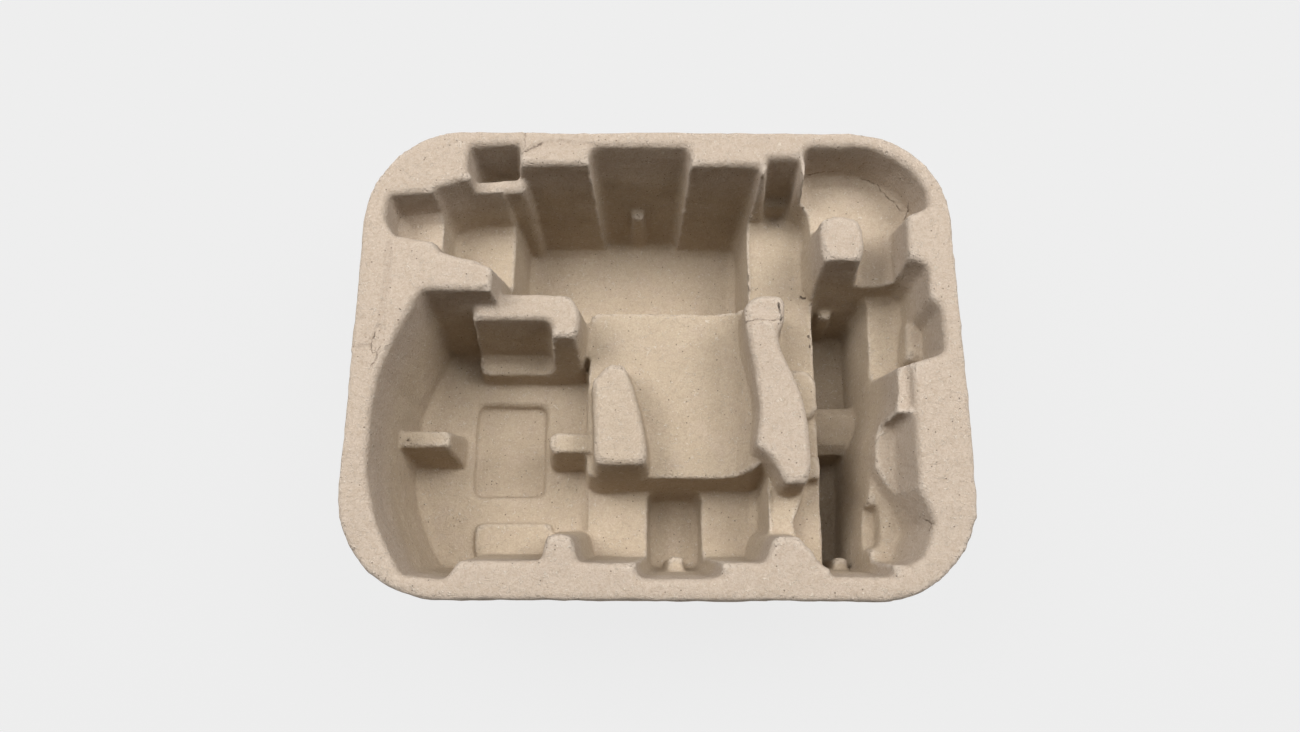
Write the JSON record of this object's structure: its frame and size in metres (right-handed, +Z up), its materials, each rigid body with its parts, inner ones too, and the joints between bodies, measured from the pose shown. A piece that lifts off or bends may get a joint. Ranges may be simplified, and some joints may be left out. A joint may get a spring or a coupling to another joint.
{
  "type": "moulded pulp insert tray",
  "caption": "Rectangular moulded pulp packing insert with a flat rounded rim, deep stepped pockets, raised blocks and a curved cradle that hold a product and its parts in a box.",
  "frame": {"origin": "on the ground under the middle of the tray's outline", "axes": "+X along the long side towards the narrow channel, +Y along the short side towards the large deep pocket, +Z up through the rim"},
  "size_m": [0.3, 0.239, 0.102],
  "materials": {
    "pulp": "matte, fibrous"
  },
  "bodies": {
    "root": {"pulp_tray": "pulp"}
  },
  "joints": []
}
